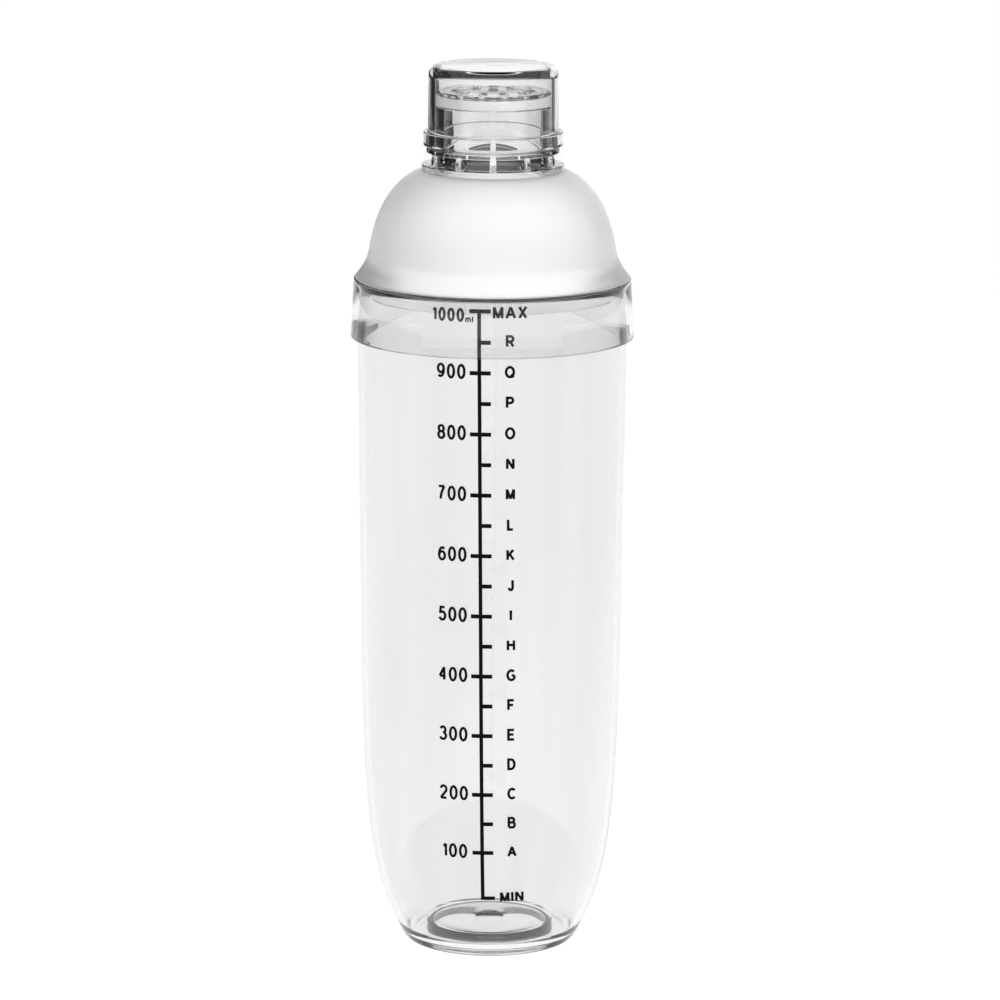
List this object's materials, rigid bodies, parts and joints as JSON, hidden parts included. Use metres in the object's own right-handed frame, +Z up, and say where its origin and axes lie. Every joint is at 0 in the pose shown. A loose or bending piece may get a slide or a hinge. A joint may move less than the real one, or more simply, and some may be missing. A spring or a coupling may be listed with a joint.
{
  "type": "shaker bottle",
  "caption": "Tall clear cup with a printed fill scale, a push-on domed strainer lid with a hanging skirt, and a small push-on pouring cap.",
  "frame": {"origin": "centre of the cup's standing ring, on the surface it stands on", "axes": "+Z up along the bottle's axis, -Y towards the side that carries the printed scale"},
  "size_m": [0.0912, 0.0912, 0.287],
  "materials": {
    "clear_plastic": "polished clear plastic",
    "frosted_plastic": "fine moulded frosting on clear plastic",
    "silicone": "translucent satin silicone",
    "dark_rubber": "black matt rubber",
    "scale_print": "black screen-printed ink"
  },
  "bodies": {
    "cup": {"cup": "clear_plastic"},
    "lid": {"lid": "frosted_plastic", "lid_seal": "dark_rubber", "cap_seal": "silicone"},
    "cap": {"cap": "clear_plastic"}
  },
  "joints": [
    {"name": "lid_lift", "type": "slide", "parent": "cup", "child": "lid", "axis": [0, 0, 1], "range_m": [0, 0.12]},
    {"name": "cap_lift", "type": "slide", "parent": "lid", "child": "cap", "axis": [0, 0, 1], "range_m": [0, 0.06]}
  ]
}
